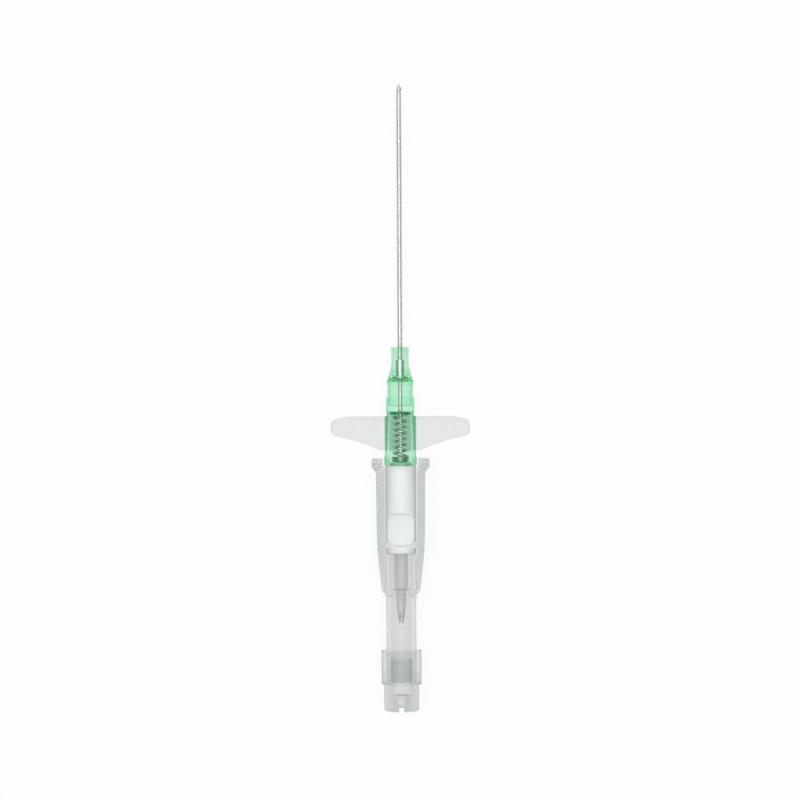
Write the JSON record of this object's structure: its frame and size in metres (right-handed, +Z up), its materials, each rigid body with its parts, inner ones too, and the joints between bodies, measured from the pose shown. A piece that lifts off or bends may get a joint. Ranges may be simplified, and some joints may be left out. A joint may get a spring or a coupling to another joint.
{
  "type": "iv cannula",
  "caption": "Winged safety IV cannula: soft tube over a bevelled steel needle, stepped green Luer hub, flat wings, clear finger grip with flash chamber, spring guard and vent plug.",
  "frame": {"origin": "on the resting plane, under the middle of the overall length", "axes": "+Y along the needle towards its tip, +Z up through the upper side of the hub, +X to the right seen from above with the tip pointing away"},
  "size_m": [0.025, 0.1118, 0.0078],
  "materials": {
    "needle_steel": "drawn and ground stainless steel tube",
    "tube_fluoropolymer": "clear extruded fluoropolymer, smooth",
    "ferrule_steel": "deep-drawn stainless steel",
    "hub_polypropylene": "translucent green moulded polypropylene",
    "wing_elastomer": "milky translucent soft moulding, fine matt",
    "guard_spring_steel": "bright spring wire",
    "holder_polypropylene": "milky white moulded polypropylene",
    "grip_clear_plastic": "clear moulded plastic with a faint haze",
    "plug_polypropylene": "translucent moulded polypropylene",
    "filter_porous": "sintered porous plastic, matt white"
  },
  "bodies": {
    "needle_unit": {"needle": "needle_steel", "needle_holder": "holder_polypropylene", "grip_shell": "grip_clear_plastic"},
    "guard": {"guard_band": "guard_spring_steel", "guard_spring": "guard_spring_steel", "guard_cap": "guard_spring_steel"},
    "catheter": {"catheter_tube": "tube_fluoropolymer", "tube_wedge": "ferrule_steel", "catheter_hub": "hub_polypropylene", "wings": "wing_elastomer"},
    "vent": {"vent_plug": "plug_polypropylene", "filter_disc": "filter_porous"}
  },
  "joints": [
    {"name": "guard_on_needle", "type": "slide", "parent": "needle_unit", "child": "guard", "axis": [0, 1, 0], "range_m": [0, 0.0595]},
    {"name": "catheter_off_guard", "type": "slide", "parent": "guard", "child": "catheter", "axis": [0, 1, 0], "range_m": [0, 0.012]},
    {"name": "vent_plug_pull", "type": "slide", "parent": "needle_unit", "child": "vent", "axis": [0, -1, 0], "range_m": [0, 0.008]}
  ]
}
